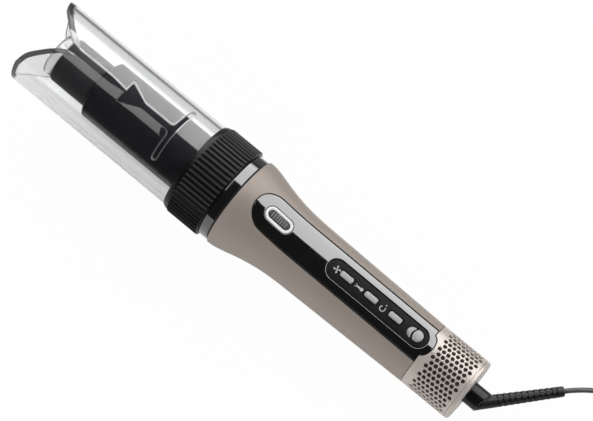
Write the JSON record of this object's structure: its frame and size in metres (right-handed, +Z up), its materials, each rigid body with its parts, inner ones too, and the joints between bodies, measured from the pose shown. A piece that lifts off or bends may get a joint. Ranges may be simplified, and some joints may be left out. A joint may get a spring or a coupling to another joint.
{
  "type": "automatic hair curler",
  "caption": "Automatic hair curler: clear slotted chamber over a turning hot barrel, ribbed collar, tapered handle with sprung keys, perforated inlet cap and coiled mains cord.",
  "frame": {"origin": "on the table under the middle of the tool, as it lies on its collar and its cap", "axes": "+X from the chamber's mouth to the cord end, +Z up out of the controls, +Y to the side the cord bends to"},
  "size_m": [0.504, 0.1087, 0.0659],
  "materials": {
    "sleeve": "satin metallic lacquer",
    "gloss_black": "gloss",
    "keypad": "matte",
    "white_ring": "gloss",
    "silver": "satin silver lacquer",
    "cap": "satin metallic lacquer",
    "nylon": "matte",
    "board": "satin",
    "motor": "brushed",
    "relief": "satin",
    "cord": "satin",
    "tie": "matte",
    "plug": "matte",
    "pin": "polished nickel",
    "clear": "clear polished",
    "ribbed": "satin",
    "barrel": "satin ceramic coat",
    "ceramic": "matte",
    "impeller": "matte"
  },
  "bodies": {
    "handle": {"handle_shell": "sleeve", "neck_ring": "gloss_black", "control_inlay": "gloss_black", "keypad_plate": "keypad", "slider_bezel": "white_ring", "power_slot_floor": "silver", "grille_cap": "cap", "end_cover": "cap", "chassis": "nylon", "circuit_board": "board", "gear_motor": "motor", "shaft_bearing": "nylon", "switch_fan": "keypad", "switch_heat": "keypad", "switch_timer": "keypad", "power_switch": "keypad", "direction_switch": "keypad", "fan_motor": "motor", "fan_spider": "nylon", "cord_swivel": "gloss_black", "strain_relief": "relief", "mains_lead": "cord", "cord_coil": "cord", "plug_lead": "cord", "coil_tie": "tie", "plug_body": "plug", "plug_pin_left": "pin", "plug_pin_right": "pin"},
    "chamber": {"clear_chamber": "clear", "grip_collar": "ribbed"},
    "barrel": {"heater_barrel": "barrel", "barrel_tip": "barrel", "tip_guard": "clear", "heater_core": "ceramic", "drive_hub": "nylon"},
    "direction_key": {"direction_slider": "ribbed"},
    "fan_key": {"button_fan": "silver"},
    "heat_key": {"button_heat": "silver"},
    "timer_key": {"button_timer": "silver"},
    "power_key": {"power_slider": "silver"},
    "fan": {"fan_impeller": "impeller"}
  },
  "joints": [
    {"name": "barrel_spin", "type": "hinge", "parent": "handle", "child": "barrel", "pos_m": [-0.07934, 0, 0.03395], "axis": [0.9984, 0, -0.0568], "continuous": true},
    {"name": "chamber_twist", "type": "hinge", "parent": "handle", "child": "chamber", "pos_m": [-0.04938, 0, 0.03225], "axis": [0.9984, 0, -0.0568], "range_deg": [0, 25]},
    {"name": "direction_slide", "type": "slide", "parent": "handle", "child": "direction_key", "axis": [0.9748, 0, -0.2231], "range_m": [-0.0018, 0.0018], "stiffness_N_per_m": 300},
    {"name": "fan_press", "type": "slide", "parent": "handle", "child": "fan_key", "axis": [-0.0568, 0, -0.9984], "range_m": [0, 0.0006], "stiffness_N_per_m": 500, "springref_m": -0.001},
    {"name": "heat_press", "type": "slide", "parent": "handle", "child": "heat_key", "axis": [-0.0568, 0, -0.9984], "range_m": [0, 0.0006], "stiffness_N_per_m": 500, "springref_m": -0.001},
    {"name": "timer_press", "type": "slide", "parent": "handle", "child": "timer_key", "axis": [-0.0568, 0, -0.9984], "range_m": [0, 0.0006], "stiffness_N_per_m": 500, "springref_m": -0.001},
    {"name": "power_slide", "type": "slide", "parent": "handle", "child": "power_key", "axis": [-0.9984, 0, 0.0568], "range_m": [0, 0.0025]},
    {"name": "fan_spin", "type": "hinge", "parent": "handle", "child": "fan", "pos_m": [0.13032, 0, 0.02202], "axis": [0.9984, 0, -0.0568], "continuous": true}
  ]
}
